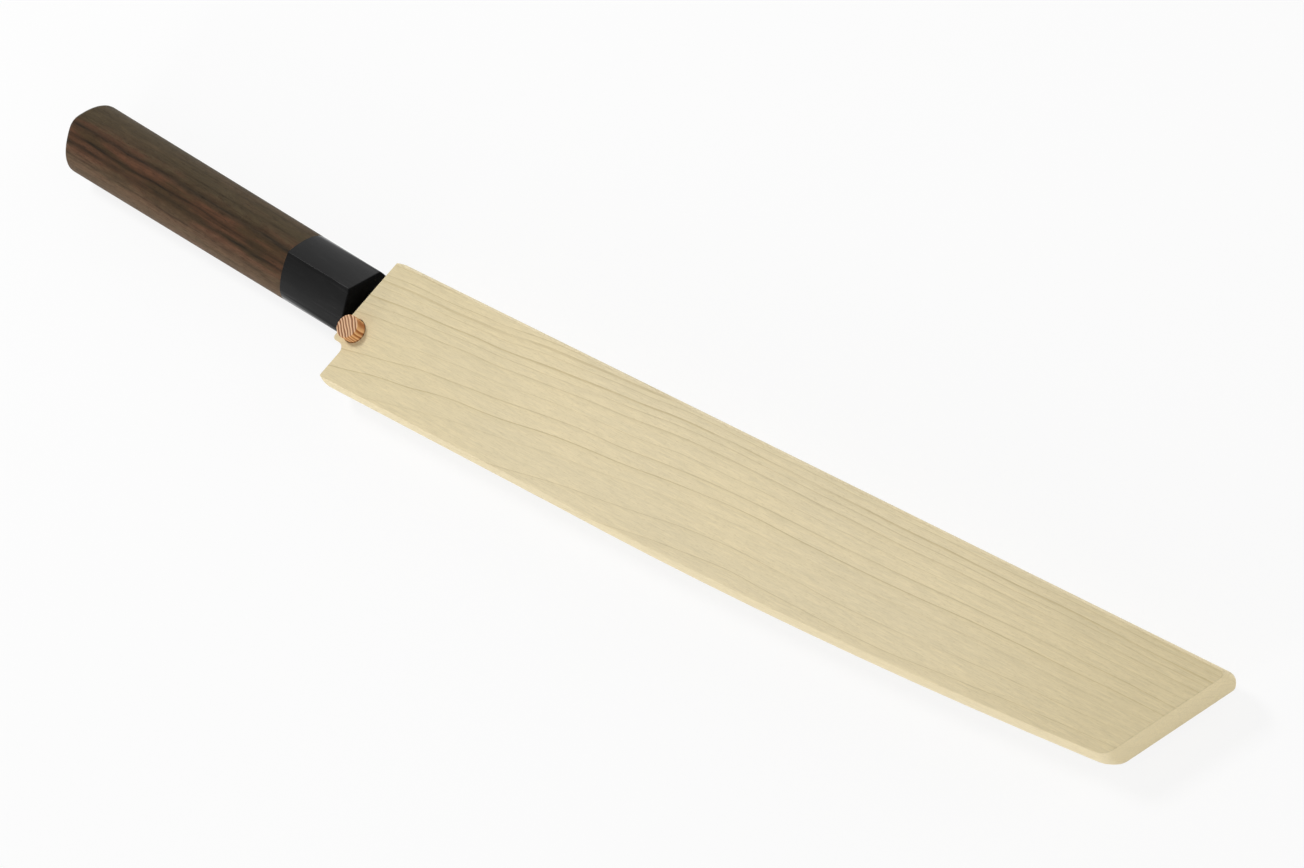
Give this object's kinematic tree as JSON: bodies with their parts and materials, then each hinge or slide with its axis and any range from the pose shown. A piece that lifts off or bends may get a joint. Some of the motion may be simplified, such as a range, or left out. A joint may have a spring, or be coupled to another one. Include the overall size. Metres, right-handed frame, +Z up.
{
  "type": "takohiki knife with saya",
  "caption": "Long slim Japanese slicing knife with a D-section wood handle and horn ferrule, lying in a pale wood sheath held by a removable pin.",
  "frame": {"origin": "middle of the footprint, on the surface the knife lies on", "axes": "+X from the handle to the blade's tip along the saya's spine edge, +Y to the spine side, +Z up from the flat back to the face"},
  "size_m": [0.4256, 0.0476, 0.0215],
  "materials": {
    "magnolia": "bare, finely sanded",
    "rosewood": "oiled, satin",
    "horn": "polished horn",
    "pin_wood": "bare",
    "steel": "ground and polished"
  },
  "bodies": {
    "knife": {"blade": "steel", "ferrule": "horn", "grip": "rosewood", "tang_dowel": "magnolia"},
    "saya": {"saya_front_board": "magnolia", "saya_back_board": "magnolia", "saya_spine_strip": "magnolia", "saya_edge_strip": "magnolia", "saya_tip_block": "magnolia"},
    "pin": {"saya_pin": "pin_wood"}
  },
  "joints": [
    {"name": "saya_draw", "type": "slide", "parent": "knife", "child": "saya", "axis": [1, 0, 0], "range_m": [0, 0.28]},
    {"name": "pin_pull", "type": "slide", "parent": "saya", "child": "pin", "axis": [0, 0, 1], "range_m": [-0.0034, 0.012]}
  ]
}
